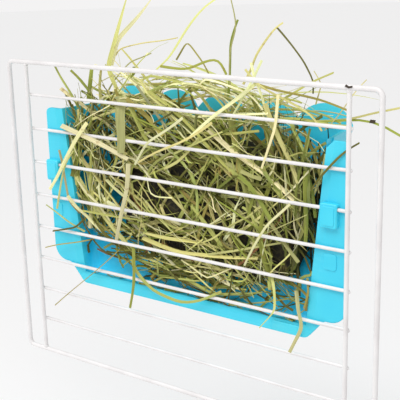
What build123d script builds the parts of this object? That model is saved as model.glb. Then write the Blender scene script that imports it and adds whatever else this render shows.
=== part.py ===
from build123d import *
import os
from math import atan, cos, radians, sin, tan

# Clip-on hay rack, in millimetres. A moulded hopper, open at its top and front, stands behind a welded
# wire front. Two snap-in buckles trap one bar of the wire front against the hopper's side flanges.
#
# Frame: +X to the right as the animal's side is seen, +Y away from the animal into the hopper, +Z up.
# The origin is on the axis of the top rod, halfway along it.

# --- Wire front -----------------------------------------------------------------------------------------
loop_corner_radius = 4.5    # of the rod's axis
loop_rod_dia = 3.4
upright_dia = 3.0
bar_dia = 2.3
bar_pitch = 25.0
bar_count = 8
top_gap = 24.0              # from the top rod's axis down to the first bar's
bottom_gap = 25.0           # from the last bar's axis down to the bottom rod's
left_upright_inset = 17.1   # between the axes of the left side rod and the left upright
right_upright_inset = 20.5
left_upright_gap = 13.6     # from the hopper's flange out to the left upright's axis
right_upright_gap = 1.8
weld_sink = 0.25            # how deep a bar is welded into an upright
bar_overhang = 0.5          # of a bar's end past an upright's axis

# --- Hopper ---------------------------------------------------------------------------------------------
gripped_bar = 3             # the bar that the buckles trap, counted from the top
rim_above_grip = 41.4       # the hopper's rim, above the gripped bar
flange_clearance = 0.3      # between the bars and the flange, and above and below a bar
flange_side = 14.75         # of a side flange's width at the rim
flange_height = 115.4       # of the side flanges, from the rim down
flange_thickness = 2.4
flange_top_radius = 4.0
flange_bottom_radius = 11.5
wall = 2.2
floor_thickness = 2.0
mouth_width = 215.5         # between the side walls at the rim, in the flange's front face
side_taper = 6.5            # degrees that a side wall leans in towards the floor
side_draft = 9.0            # degrees that a side wall leans in towards the back
rim_depth = 46.0            # inside, from the flange's front face
floor_depth = 8.5
cavity_height = 121.1       # from the floor up to the rim
corner_radius = 6.0         # inside the hopper
bevel_width = 5.5           # of the shallow bevel around the mouth
bevel_depth = 1.2
rim_chamfer = 5.0           # where the mouth's right edge meets the rim
rim_chamfer_run = 8.0       # how far back that chamfer goes
apron_height = 8.6          # from the floor down to the apron's edge
apron_shoulder = 15.5       # from a side flange's outer edge in to where the apron starts
apron_slant = 12.5          # sideways, over the height of the apron's slanted end
apron_radius = 6.0
apron_joint_radius = 4.5    # where the apron's slanted end leaves the side flange
label_width = 21.5          # of the raised pad at the apron's right end
label_height = 6.8
label_inset = 15.5          # from the apron's shoulder
label_rise = 1.0
label_radius = 1.2
crest_count = 5
crest_height = 12.4
crest_valley_radius = 1.5
edge_radius = 0.6

# --- Sockets and buckles --------------------------------------------------------------------------------
left_socket_inset = 5.9     # from the flange's outer edge in to a socket's middle
right_socket_inset = 11.4
socket_width = 9.0
socket_height = 8.5
socket_radius = 1.0
collar_length = 3.0         # of the collar behind the flange
collar_wall = 1.4
blank_drop = 27.5           # from a socket's middle down to the blank pad's
blank_width = 9.0
blank_height = 10.6
blank_rise = 0.6
blank_radius = 2.0
head_width = 11.6
head_front = 0.5            # the head's front face, ahead of the top rod's axis
lip_height = 2.0            # of the head above the bar's channel
channel_clearance = 0.35    # around the gripped bar
block_height = 10.3         # of the head below the bar's channel
seat_clearance = 0.15       # between the head and the flange
pad_margin = 1.6            # of the head around its raised pad
pad_rise = 0.5
head_radius = 1.4
peg_clearance = 0.25        # around the peg in its socket
peg_reach = 3.4             # past the collar
prong_slot = 2.2
prong_slot_depth = 7.0
tip_chamfer = 0.9
barb_rise = 0.15
barb_length = 1.6

# --- Hay ------------------------------------------------------------------------------------------------
bed_clearance = 0.8         # between the hay and the hopper's walls
bed_below_rim = 5.0         # the bed's level top
bed_right_gap = 14.4        # left empty at the right end, measured at the rim's back corner
# The bed's underside: across in half mouth widths, up from the floor in cavity heights.
bed_underside = [
    (-1.0, 0.48), (-0.85, 0.25), (-0.55, 0.2), (-0.3, 0.08), (0.1, 0.06), (0.5, 0.1), (1.0, 0.22)
]
heap_side_margin = 7.0      # the heap's foot, in from the side walls
heap_depth_margin = 3.0     # in from the bars' side and from the back wall
heap_radius = 5.5
heap_height = 11.0          # above the rim
# The heap's crown: across in half its foot, up from the rim in heap heights.
heap_outline = [(-0.86, 0.42), (-0.45, 0.9), (0.1, 1.0), (0.55, 0.84), (0.9, 0.38)]
stalk_dia = 2.0

# --- Places that follow ---------------------------------------------------------------------------------
pick_margin = edge_radius   # tells a group of edges or corners from the next
flange_width = mouth_width + 2 * flange_side
loop_width = left_upright_inset + left_upright_gap + flange_width + right_upright_gap + right_upright_inset
hopper_offset = left_upright_inset + left_upright_gap + flange_width / 2 - loop_width / 2
socket_places = {-1: left_socket_inset - flange_width / 2, 1: flange_width / 2 - right_socket_inset}
bar_y = upright_dia / 2 + bar_dia / 2 - weld_sink
flange_y = bar_y + bar_dia / 2 + flange_clearance
first_bar_z = -top_gap
last_bar_z = first_bar_z - (bar_count - 1) * bar_pitch
bottom_rod_z = last_bar_z - bottom_gap
grip_z = first_bar_z - (gripped_bar - 1) * bar_pitch
rim_z = grip_z + rim_above_grip
floor_z = rim_z - cavity_height
flange_bottom_z = rim_z - flange_height
apron_z = floor_z - apron_height
left_upright_x = -loop_width / 2 + left_upright_inset
right_upright_x = loop_width / 2 - right_upright_inset
back_angle = atan((rim_depth - floor_depth) / cavity_height)
rear_half = mouth_width / 2 - rim_depth * tan(radians(side_draft))
channel_half = bar_dia / 2 + channel_clearance
head_top_z = grip_z + channel_half + lip_height
head_bottom_z = grip_z - channel_half - block_height
socket_z = (grip_z - channel_half + head_bottom_z) / 2
blank_z = socket_z - blank_drop


def bar_z(index):
    """The height of a cross bar's axis, counted from the top."""
    return first_bar_z - index * bar_pitch


def rod(start, end, diameter):
    """A straight round rod between two points."""
    axis = Vector(end) - Vector(start)
    return extrude(Plane(origin=start, z_dir=axis) * Circle(diameter / 2), amount=axis.length, dir=axis)


def slab(outline, front, thickness):
    """An outline drawn in X and Z, given a thickness from y = front towards the back."""
    return extrude(Plane.XZ.offset(-front) * outline, amount=thickness, dir=(0, 1, 0))


def round_corners(outline, points, radius):
    """Round the outline's corners that lie at the points."""
    corners = [
        corner
        for corner in outline.vertices()
        if any(abs(corner.X - x) + abs(corner.Y - z) < pick_margin for x, z in points)
    ]
    return fillet(corners, radius)


def mirrored(points):
    """The points, followed by their mirror images in x = 0."""
    return points + [(-x, z) for x, z in reversed(points)]


# --- Wire front -----------------------------------------------------------------------------------------
def frame_loop():
    """The outer rod, bent into a closed rectangle with round corners."""
    outline = Pos(0, bottom_rod_z / 2) * RectangleRounded(loop_width, -bottom_rod_z, loop_corner_radius)
    path = (Plane.XZ * outline).face().outer_wire()
    section = Plane(origin=path @ 0, z_dir=path % 0) * Circle(loop_rod_dia / 2)
    return sweep(section, path=path)


def upright(x, loop):
    """An inner upright, butt-welded between the top rod and the bottom rod."""
    return rod((x, 0, 0), (x, 0, bottom_rod_z), upright_dia) - loop


def cross_bar(z, uprights):
    """A cross bar, seated in the backs of both uprights."""
    left_end = (left_upright_x - bar_overhang, bar_y, z)
    right_end = (right_upright_x + bar_overhang, bar_y, z)
    bar = rod(left_end, right_end, bar_dia)
    for post in uprights:
        bar -= post
    return bar


# --- Hopper, modelled about its own middle --------------------------------------------------------------
def mouth_half(z):
    """Half the mouth's width in the flange's front face, at height z."""
    return mouth_width / 2 - (rim_z - z) * tan(radians(side_taper))


def back_y(z):
    """The back wall's inner face at height z."""
    return flange_y + rim_depth - (rim_z - z) * tan(back_angle)


def wedge_section(z, grow, front):
    """A level slice of the hopper's inside, grown by a wall's thickness and cut off at the front."""
    draft = tan(radians(side_draft))
    half = mouth_half(z) + grow / cos(radians(side_draft))
    rear = back_y(z) + grow / cos(back_angle)
    front_end = half - (front - flange_y) * draft
    rear_end = half - (rear - flange_y) * draft
    corners = [(front_end, front), (rear_end, rear), (-rear_end, rear), (-front_end, front)]
    return Plane.XY.offset(z) * Polygon(*corners, align=None)


def wedge(grow, front, bottom, top, radius):
    """The hopper's tapering inside as a solid, with its rear and bottom edges rounded."""
    body = loft([wedge_section(bottom, grow, front), wedge_section(top, grow, front)], ruled=True)
    rear_edges = body.edges().filter_by(lambda edge: edge.center().Y > front + pick_margin)
    corners = rear_edges.filter_by(lambda edge: bottom + pick_margin < edge.center().Z < top - pick_margin)
    foot = rear_edges.filter_by(lambda edge: edge.center().Z < bottom + pick_margin).filter_by(Axis.X)
    return fillet(corners + foot, radius)


def flange():
    """The front frame: side flanges, and the apron with its slanted ends."""
    half = flange_width / 2
    shoulder = half - apron_shoulder
    flange_corner = (half, flange_bottom_z)
    apron_corner = (shoulder - apron_slant, apron_z)
    right = [(half, rim_z), flange_corner, (shoulder, flange_bottom_z), apron_corner]
    outline = Polygon(*mirrored(right), align=None)
    outline = round_corners(outline, mirrored([(half, rim_z)]), flange_top_radius)
    outline = round_corners(outline, mirrored([flange_corner]), flange_bottom_radius)
    outline = round_corners(outline, mirrored([apron_corner]), apron_radius)
    outline = round_corners(outline, mirrored([(shoulder, flange_bottom_z)]), apron_joint_radius)
    plate = slab(outline, flange_y, flange_thickness)
    return fillet(plate.faces().sort_by(Axis.Y)[0].outer_wire().edges(), edge_radius)


def mouth_outline(widen):
    """The mouth's edge, widened all round and carried up past the rim."""
    above = rim_z + 2 * crest_height
    foot = floor_z - widen / 2
    corners = [(mouth_half(above) + widen, above), (mouth_half(foot) + widen, foot)]
    return Polygon(*mirrored(corners), align=None)


def mouth_bevel():
    """The shallow bevel that leads from the flange's face into the mouth."""
    front = Plane.XZ.offset(-flange_y) * mouth_outline(bevel_width)
    rear = Plane.XZ.offset(-flange_y - bevel_depth) * mouth_outline(0)
    return loft([front, rear], ruled=True)


def rim_chamfer_cut():
    """The wedge cut off where the mouth's right edge meets the rim."""
    half = mouth_half(rim_z)
    below = rim_z - rim_chamfer
    outline = Polygon(
        (mouth_half(below), below), (half + rim_chamfer, rim_z), (half, rim_z + rim_chamfer), align=None
    )
    return slab(outline, flange_y - wall, rim_chamfer_run + wall)


def crest():
    """A row of round crests that carries the back wall's slope above the rim."""
    up_the_wall = Plane(
        origin=(0, back_y(rim_z), rim_z), x_dir=(1, 0, 0), z_dir=(0, -cos(back_angle), sin(back_angle))
    )
    width = 2 * rear_half
    pitch = width / crest_count
    radius = ((pitch / 2) ** 2 + crest_height**2) / (2 * crest_height)
    foot = 2 * wall
    outline = Pos(0, -foot / 2) * Rectangle(width, foot)
    for index in range(crest_count):
        middle = (index - (crest_count - 1) / 2) * pitch
        bump = Pos(middle, crest_height - radius) * Circle(radius)
        outline += bump & (Pos(middle, 0) * Rectangle(pitch, 2 * crest_height))
    outline &= Pos(0, (crest_height - foot) / 2) * Rectangle(width, crest_height + foot)
    valleys = [((index - crest_count / 2) * pitch, 0) for index in range(1, crest_count)]
    outline = round_corners(outline, valleys, crest_valley_radius)
    return extrude(up_the_wall * outline, amount=wall, dir=-up_the_wall.z_dir)


def raised_pad(outline, rise):
    """A pad that stands proud of the flange's face, with a chamfered edge, notched where a bar passes."""
    pad = slab(outline, flange_y - rise, rise + flange_thickness)
    pad = chamfer(pad.faces().sort_by(Axis.Y)[0].outer_wire().edges(), rise / 2)
    notch = Rectangle(2 * flange_width, bar_dia + 2 * flange_clearance)
    for index in range(bar_count):
        pad -= slab(Pos(0, bar_z(index)) * notch, flange_y - rise, rise)
    return pad


def at_sockets(piece):
    """Two copies of a piece, one at each side's socket."""
    return [Pos(place, 0, 0) * piece for place in socket_places.values()]


def hopper():
    """The whole moulding."""
    shell_bottom = floor_z - floor_thickness
    body = flange() + wedge(wall, flange_y + edge_radius, shell_bottom, rim_z, corner_radius + wall)
    body += crest()
    collar = RectangleRounded(
        socket_width + 2 * collar_wall, socket_height + 2 * collar_wall, socket_radius + collar_wall
    )
    flange_back = flange_y + flange_thickness
    for piece in at_sockets(slab(Pos(0, socket_z) * collar, flange_back, collar_length)):
        body += piece
    body -= wedge(0, flange_y - wall, floor_z, rim_z + 2 * crest_height, corner_radius)
    body -= mouth_bevel()
    body -= rim_chamfer_cut()
    blank = Pos(0, blank_z) * RectangleRounded(blank_width, blank_height, blank_radius)
    for piece in at_sockets(raised_pad(blank, blank_rise)):
        body += piece
    label_x = flange_width / 2 - apron_shoulder - label_inset - label_width / 2
    label_z = apron_z + edge_radius + label_height / 2
    label = Pos(label_x, label_z) * RectangleRounded(label_width, label_height, label_radius)
    body += raised_pad(label, label_rise)
    hole = Pos(0, socket_z) * RectangleRounded(socket_width, socket_height, socket_radius)
    for piece in at_sockets(slab(hole, flange_y, flange_thickness + collar_length)):
        body -= piece
    return Pos(hopper_offset, 0, 0) * body


# --- Buckles --------------------------------------------------------------------------------------------
def buckle(side):
    """A snap-in buckle: a head that hooks over the gripped bar, and a split peg."""
    head_height = head_top_z - head_bottom_z
    head_middle = (head_top_z + head_bottom_z) / 2
    face_y = -head_front + pad_rise
    seat_y = flange_y - seat_clearance
    head = slab(Pos(0, head_middle) * Rectangle(head_width, head_height), face_y, seat_y - face_y)
    head = fillet(head.edges().filter_by(Axis.Y), head_radius)
    head = chamfer(head.faces().sort_by(Axis.Y)[0].outer_wire().edges(), edge_radius)
    pad = Pos(0, head_middle) * RectangleRounded(
        head_width - 2 * pad_margin, head_height - 2 * pad_margin, head_radius
    )
    pad = slab(pad, -head_front, pad_rise)
    head += chamfer(pad.faces().sort_by(Axis.Y)[0].outer_wire().edges(), pad_rise / 2)
    channel = rod((-head_width, bar_y, grip_z), (head_width, bar_y, grip_z), 2 * channel_half)
    channel += Pos(0, bar_y + channel_half, grip_z) * Box(2 * head_width, 2 * channel_half, 2 * channel_half)
    head -= channel

    peg_height = socket_height - 2 * peg_clearance
    peg_tip = flange_y + flange_thickness + collar_length + peg_reach
    section = RectangleRounded(socket_width - 2 * peg_clearance, peg_height, socket_radius)
    peg = slab(Pos(0, socket_z) * section, seat_y, peg_tip - seat_y)
    peg = chamfer(peg.faces().sort_by(Axis.Y)[-1].outer_wire().edges(), tip_chamfer)
    barb = Rectangle(socket_width / 2, peg_height + 2 * barb_rise)
    barb_y = flange_y + flange_thickness + collar_length + peg_clearance
    peg += slab(Pos(0, socket_z) * barb, barb_y, barb_length)
    slot = Rectangle(socket_width, prong_slot)
    peg -= slab(Pos(0, socket_z) * slot, peg_tip - prong_slot_depth, prong_slot_depth)
    return Pos(hopper_offset + socket_places[side], 0, 0) * (head + peg)


# --- Hay ------------------------------------------------------------------------------------------------
def hay_bed():
    """The hay packed inside the hopper, which leaves the right end and the hopper's foot empty."""
    front = flange_y + bed_clearance
    bed = wedge(-bed_clearance, front, floor_z, rim_z - bed_below_rim, corner_radius)
    right_end = Plane.YZ.offset(rear_half - bed_right_gap)
    bed = split(bed, bisect_by=right_end, keep=Keep.BOTTOM)
    underside = [(x * mouth_width / 2, floor_z + height * cavity_height) for x, height in bed_underside]
    left, right = underside[0], underside[-1]
    foot = Polyline(right, (right[0], floor_z), (left[0], floor_z), left)
    bed -= slab(make_face(Spline(*underside) + foot), flange_y, rim_depth)
    return Pos(hopper_offset, 0, 0) * bed


def hay_heap():
    """The hay heaped above the rim."""
    foot_z = rim_z - bed_below_rim
    front = flange_y + heap_depth_margin
    depth = rim_depth - 2 * heap_depth_margin
    half = rear_half - heap_side_margin
    crown = [(x * half, rim_z + height * heap_height) for x, height in heap_outline]
    ends = [(-half, foot_z), *crown, (half, foot_z)]
    outline = make_face(Spline(*ends) + Line(ends[-1], ends[0]))
    heap = slab(outline, front, depth)
    top_edges = heap.edges().filter_by(lambda edge: edge.center().Z > foot_z + pick_margin)
    return Pos(hopper_offset, 0, 0) * fillet(top_edges, heap_radius)


# Each stalk: its foot in the hay, then its free tip. Sideways in half mouth widths from the hopper's
# middle, back from the flange's face in rim depths, and down from the first bar in bar pitches.
top_stalks = [
    ((-0.65, 0.35, 0.2), (-0.47, 0.35, -3.2)),
    ((-0.73, 0.48, 0.2), (-0.58, 0.57, -2.65)),
    ((-0.32, 0.44, 0.1), (0.0, 0.35, -3.3)),
    ((-0.15, 0.57, 0.1), (-0.26, 0.66, -3.05)),
    ((0.33, 0.39, 0.1), (0.22, 0.26, -3.35)),
    ((0.5, 0.48, 0.1), (0.67, 0.22, -2.4)),
    ((-0.7, 0.25, 0.5), (-1.08, 0.11, -1.05)),
    ((0.7, 0.31, 0.2), (1.2, 0.18, -1.2)),
]
front_stalks = [
    ((0.55, 0.42, 0.3), (1.45, 0.28, -0.28)),
    ((0.55, 0.24, 0.35), (1.35, 0.26, 0.1)),
    ((-0.56, 0.2, 3.9), (-1.04, -0.3, 5.76)),
    ((-0.39, 0.09, 3.95), (-0.43, -0.28, 5.72)),
    ((0.67, 0.09, 3.9), (0.8, -0.3, 5.8)),
    ((-0.6, 0.09, 1.52), (-0.95, -0.37, 1.44)),
    ((0.3, 0.09, 2.48), (-0.11, -0.41, 2.52)),
    ((-0.22, 0.09, 3.28), (-0.65, -0.39, 3.44)),
]


def stalk_point(across, back, down):
    """A point of a stalk, from its shares of the mouth, the depth and the bar pitch."""
    return (
        hopper_offset + across * mouth_width / 2,
        flange_y + back * rim_depth,
        first_bar_z - down * bar_pitch,
    )


def stalks(runs, cutters):
    """Long stiff stalks, each cut off where it leaves the hay."""
    group = []
    for foot, tip in runs:
        tip_point = Vector(*stalk_point(*tip))
        stalk = rod(stalk_point(*foot), tip_point, stalk_dia)
        for solid in cutters:
            stalk -= solid
        group.append(stalk.solids().sort_by(lambda piece: (piece.center() - tip_point).length)[0])
    return Compound(children=group)


def main():
    loop = frame_loop()
    uprights = {
        "left_upright": upright(left_upright_x, loop),
        "right_upright": upright(right_upright_x, loop),
    }
    bed = hay_bed()
    heap = hay_heap()
    nodes = {
        "hopper": hopper(),
        "left_buckle": buckle(-1),
        "right_buckle": buckle(1),
        "frame_loop": loop,
        **uprights,
        "hay_bed": bed,
        "hay_heap": heap,
        "hay_top_stalks": stalks(top_stalks, [bed, heap]),
        "hay_front_stalks": stalks(front_stalks, [bed, heap]),
    }
    for index in range(bar_count):
        nodes[f"bar_{index + 1}"] = cross_bar(bar_z(index), uprights.values())

    os.makedirs("parts", exist_ok=True)
    for name, shape in nodes.items():
        export_step(shape, f"parts/{name}.step")


main()
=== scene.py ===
"""Looks of a clip-on hay rack: a moulded hopper full of hay, held behind a welded wire front.

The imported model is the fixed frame. Sizes in this file are in millimetres and become metres where a mesh is
written. +X is to the right as the animal's side is seen, +Y away from the animal, +Z up, and the origin is on
the axis of the top rod, halfway along it.
"""

import logging
import math
from dataclasses import dataclass
from enum import Enum

import bpy
import numpy as np
from mathutils import Euler, Matrix, Vector


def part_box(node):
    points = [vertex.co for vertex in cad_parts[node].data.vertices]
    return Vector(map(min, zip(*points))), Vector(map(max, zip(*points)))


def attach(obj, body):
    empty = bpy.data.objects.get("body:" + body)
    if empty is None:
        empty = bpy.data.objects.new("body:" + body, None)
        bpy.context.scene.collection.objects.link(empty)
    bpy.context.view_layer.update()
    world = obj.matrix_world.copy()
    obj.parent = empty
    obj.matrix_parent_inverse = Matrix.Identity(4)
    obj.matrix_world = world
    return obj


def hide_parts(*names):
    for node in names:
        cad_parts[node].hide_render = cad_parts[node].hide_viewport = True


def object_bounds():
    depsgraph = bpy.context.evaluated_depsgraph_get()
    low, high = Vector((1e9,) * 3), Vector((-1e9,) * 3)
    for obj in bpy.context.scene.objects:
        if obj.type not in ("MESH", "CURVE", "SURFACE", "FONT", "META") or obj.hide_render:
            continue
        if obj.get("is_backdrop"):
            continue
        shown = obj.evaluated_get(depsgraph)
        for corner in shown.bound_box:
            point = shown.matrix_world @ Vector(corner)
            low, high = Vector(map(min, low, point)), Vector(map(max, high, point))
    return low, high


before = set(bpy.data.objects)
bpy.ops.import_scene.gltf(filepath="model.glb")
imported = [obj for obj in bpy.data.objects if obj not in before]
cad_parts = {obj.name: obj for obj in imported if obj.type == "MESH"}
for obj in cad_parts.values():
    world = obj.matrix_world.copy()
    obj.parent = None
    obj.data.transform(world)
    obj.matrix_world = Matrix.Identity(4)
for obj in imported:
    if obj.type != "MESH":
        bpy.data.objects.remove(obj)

MM = 0.001
BODY = "rack"
EYE = (377.3, -483.0, 86.0)         # where the rack is looked at from, in millimetres
MIX_FIRST, MIX_SECOND, MIX_RESULT = 6, 7, 2     # the Mix node's sockets for two colours and for their mix
UV_LENGTH = 10.0                    # how much of a strand one unit of its UV map covers, in millimetres
UV_STEP = 1.7                       # how far the next strand's UV map is moved, so that its veins differ
THINNEST = 0.22                     # the least thickness of a strand, in millimetres
TONE_WANDER = 0.10                  # how far the tone wanders along a strand
TONE_LIMITS = (0.7, 1.25)           # and how far it may get
FOLD_ANGLE = 38.0                   # in degrees; a strand's edges are sharp where its faces meet more steeply
Array = np.ndarray
Random = np.random.Generator
Triple = tuple[float, float, float]
Socket = bpy.types.NodeSocket
log = logging.getLogger("hay_rack")


# --- Colours and nodes ----------------------------------------------------------------------------------
def linear(hex_colour: str) -> tuple[float, float, float, float]:
    """Turn an sRGB hex colour into linear light.

    Args:
        hex_colour: Six hex digits after a hash sign.

    Returns:
        Linear red, green and blue, and an alpha of one.
    """
    encoded = [int(hex_colour[place:place + 2], 16) / 255 for place in (1, 3, 5)]
    light = [c / 12.92 if c <= 0.04045 else ((c + 0.055) / 1.055) ** 2.4 for c in encoded]
    return (*light, 1.0)


def per_metre(length: float) -> float:
    """The texture scale whose pattern repeats about once in this many millimetres."""
    return 1 / (length * MM)


def feed(tree: bpy.types.NodeTree, node: bpy.types.Node, inputs: dict[str | int, object]) -> None:
    """Fill a node's inputs.

    Args:
        tree: The tree that the node is in.
        node: The node.
        inputs: For each input, by name or number, a value or the output socket that feeds it.
    """
    for name, value in inputs.items():
        if isinstance(value, Socket):
            tree.links.new(value, node.inputs[name])
        else:
            node.inputs[name].default_value = value


def add_node(
    tree: bpy.types.NodeTree, kind: str, inputs: dict[str | int, object] | None = None, **settings: object
) -> bpy.types.Node:
    """Add a node to a tree, with its settings and links.

    Args:
        tree: The tree that the node goes into.
        kind: The node's type without its ShaderNode prefix.
        inputs: What feed() fills its inputs with.
        **settings: Properties of the node itself.

    Returns:
        The new node.
    """
    node = tree.nodes.new("ShaderNode" + kind)
    for name, value in settings.items():
        setattr(node, name, value)
    feed(tree, node, inputs or {})
    return node


class Shading:
    """A node material in the making, round one Principled shader."""

    def __init__(self, name: str) -> None:
        """Start the material.

        Args:
            name: The material's name.
        """
        self.material = bpy.data.materials.new(name)
        self.material.use_nodes = True
        self.tree = self.material.node_tree
        self.tree.nodes.clear()
        self.shader = add_node(self.tree, "BsdfPrincipled")
        add_node(self.tree, "OutputMaterial", {"Surface": self.shader.outputs["BSDF"]})

    def place(self) -> Socket:
        """The place on the part, in metres."""
        return add_node(self.tree, "TexCoord").outputs["Object"]

    def mapped(self, vector: Socket, scale: Triple = (1, 1, 1), turn: Triple = (0, 0, 0)) -> Socket:
        """A place that is scaled and then turned, by angles in radians."""
        inputs = {"Vector": vector, "Scale": scale, "Rotation": turn}
        return add_node(self.tree, "Mapping", inputs).outputs["Vector"]

    def noise(self, vector: Socket, scale: float, detail: float, distortion: float = 0.0) -> Socket:
        """Smooth noise between zero and one, most of it between 0.3 and 0.7."""
        inputs = {"Vector": vector, "Scale": scale, "Detail": detail, "Distortion": distortion}
        return add_node(self.tree, "TexNoise", inputs).outputs["Fac"]

    def ranged(self, value: Socket, start: float, end: float, low: float = 0.0, high: float = 1.0) -> Socket:
        """Low where the value is start or less, high where it is end or more, and even between."""
        inputs = {"Value": value, "From Min": start, "From Max": end, "To Min": low, "To Max": high}
        return add_node(self.tree, "MapRange", inputs).outputs["Result"]

    def ramp(self, factor: Socket, *stops: tuple[float, str]) -> Socket:
        """Colours that follow a factor.

        Args:
            factor: The factor.
            *stops: Two or more stops in rising order, each with its factor and its sRGB hex colour.

        Returns:
            The colour.
        """
        node = add_node(self.tree, "ValToRGB", {"Fac": factor})
        elements = node.color_ramp.elements
        elements[0].position = stops[0][0]
        elements[1].position = stops[-1][0]
        for position, _ in stops[1:-1]:
            elements.new(position)
        for element, (_, colour) in zip(elements, stops):
            element.color = linear(colour)
        return node.outputs["Color"]

    def mix(self, factor: Socket, first: Socket, second: str) -> Socket:
        """The first colour where the factor is zero, and the second, an sRGB hex colour, where it is one."""
        inputs = {"Factor": factor, MIX_FIRST: first, MIX_SECOND: linear(second)}
        return add_node(self.tree, "Mix", inputs, data_type="RGBA").outputs[MIX_RESULT]

    def combine(self, operation: str, first: Socket | float, second: Socket | float) -> Socket:
        """A number made of two others."""
        return add_node(self.tree, "Math", {0: first, 1: second}, operation=operation).outputs["Value"]

    def vectors(self, operation: str, *terms: Socket | Triple) -> bpy.types.Node:
        """A node that works on one or two vectors."""
        return add_node(self.tree, "VectorMath", dict(enumerate(terms)), operation=operation)

    def relief(self, height: Socket, depth: float, strength: float = 0.5) -> None:
        """Raise the surface where the height is great, by up to a depth in millimetres."""
        bump = add_node(self.tree, "Bump", {"Height": height, "Strength": strength, "Distance": depth * MM})
        feed(self.tree, self.shader, {"Normal": bump.outputs["Normal"]})

    def finish(self, inputs: dict[str | int, object]) -> bpy.types.Material:
        """Fill the shader's inputs and hand over the material."""
        feed(self.tree, self.shader, inputs)
        return self.material


# --- Finishes -------------------------------------------------------------------------------------------
# A limit of a stretch of a moulding: a way, counted from the moulding's middle and the top rod's axis, and
# where along it, in millimetres, the stretch begins and has fully begun.
Limit = tuple[Triple, float, float]


@dataclass(frozen=True)
class PowderCoat:
    """White polyester powder, sprayed on welded steel wire and baked.

    It gives the eye a soft semi-gloss white with a faint orange peel, and a greyer tone where the powder
    lies thinner.
    """

    paint: str = "#EDEBEB"
    thin_paint: str = "#E5E2E2"
    thin_until: float = 0.38        # of the patches' noise, below which the coat is thin
    full_from: float = 0.56         # and above which it is full
    roughness: float = 0.36
    peel_size: float = 1.6          # real peel is under 1 mm; drawn this coarse so that it shows
    peel_height: float = 0.03
    patch_size: float = 22.0

    def build(self) -> bpy.types.Material:
        """Make the material.

        Returns:
            The material.
        """
        shading = Shading("powder_coated_wire")
        place = shading.place()
        patches = shading.noise(place, per_metre(self.patch_size), 3.0)
        tone = shading.ramp(patches, (self.thin_until, self.thin_paint), (self.full_from, self.paint))
        shading.relief(shading.noise(place, per_metre(self.peel_size), 2.0), self.peel_height)
        return shading.finish({"Base Color": tone, "Roughness": self.roughness})


@dataclass(frozen=True)
class MouldedPolypropylene:
    """Coloured polypropylene, injection-moulded in a spark-eroded tool.

    It gives the eye a saturated, slightly waxy blue with a satin sheen, faint flow marks and a fine grain.
    """

    name: str
    colour: str = "#48DAF1"
    flow_colour: str = "#3ED2EF"
    scuff_colour: str = "#84E8FA"
    painted_bounce_colour: str = "#22D2FF"  # painted shade: the deeper blue that light bounced between the trough's walls gives
    roughness: float = 0.36
    polish: float = 0.05            # how much less rough it is where nothing has rubbed it
    wear: float = 0.12              # and how much rougher where it is rubbed most
    grain_size: float = 0.9         # real grain is about 0.3 mm; drawn this coarse so that it shows
    grain_height: float = 0.025
    flow_size: float = 45.0
    flow_waver: float = 0.6
    scuff_size: float = 6.0         # a scuff's width
    scuff_length: float = 9.0       # and its length over its width
    scuff_turn: Triple = (0.5, 0.3, 0.9)    # the way that scuffs run, as turns about the axes, in radians
    scuff_strength: float = 0.22

    def inside(self, shading: Shading, place: Socket, middle: float, limits: tuple[Limit, ...]) -> Socket:
        """How much painted shade a place gets, for light bounced deep in the trough, from zero to one: the
        product of what each limit says.

        Args:
            shading: The material in the making.
            place: The place on the part.
            middle: The moulding's middle across, in millimetres.
            limits: What bounds the painted shade.

        Returns:
            The share of painted shade.
        """
        centred = shading.vectors("SUBTRACT", place, (middle * MM, 0.0, 0.0)).outputs["Vector"]
        folded = shading.vectors("ABSOLUTE", centred).outputs["Vector"]
        depth: float | Socket = 1.0
        for way, start, end in limits:
            reach = shading.vectors("DOT_PRODUCT", folded, way).outputs["Value"]
            depth = shading.combine("MULTIPLY", shading.ranged(reach, start * MM, end * MM), depth)
        return depth

    def build(self, middle: float = 0.0, limits: tuple[Limit, ...] = ()) -> bpy.types.Material:
        """Make the material.

        Args:
            middle: The moulding's middle across, in millimetres.
            limits: What bounds the painted shade of the inside, a deeper blue for light bounced in the
                trough. None leaves it out.

        Returns:
            The material.
        """
        shading = Shading(self.name)
        place = shading.place()
        flow = shading.noise(place, per_metre(self.flow_size), 2.0, self.flow_waver)
        moulded = shading.ramp(flow, (0.35, self.flow_colour), (0.65, self.colour))
        if limits:
            # Painted shade: the inside of the trough turns a deeper blue, for light bounced between its
            # walls.
            moulded = shading.mix(self.inside(shading, place, middle, limits), moulded, self.painted_bounce_colour)
        long_way = shading.mapped(place, (1.0, self.scuff_length, self.scuff_length), self.scuff_turn)
        scuffs = shading.noise(long_way, per_metre(self.scuff_size * self.scuff_length), 5.0)
        scuffed = shading.ranged(scuffs, 0.62, 0.8, high=self.scuff_strength)
        colour = shading.mix(scuffed, moulded, self.scuff_colour)
        rough = shading.ranged(scuffs, 0.3, 0.75, self.roughness - self.polish, self.roughness + self.wear)
        shading.relief(shading.noise(place, per_metre(self.grain_size), 3.0), self.grain_height)
        return shading.finish({"Base Color": colour, "Roughness": rough})


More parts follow.
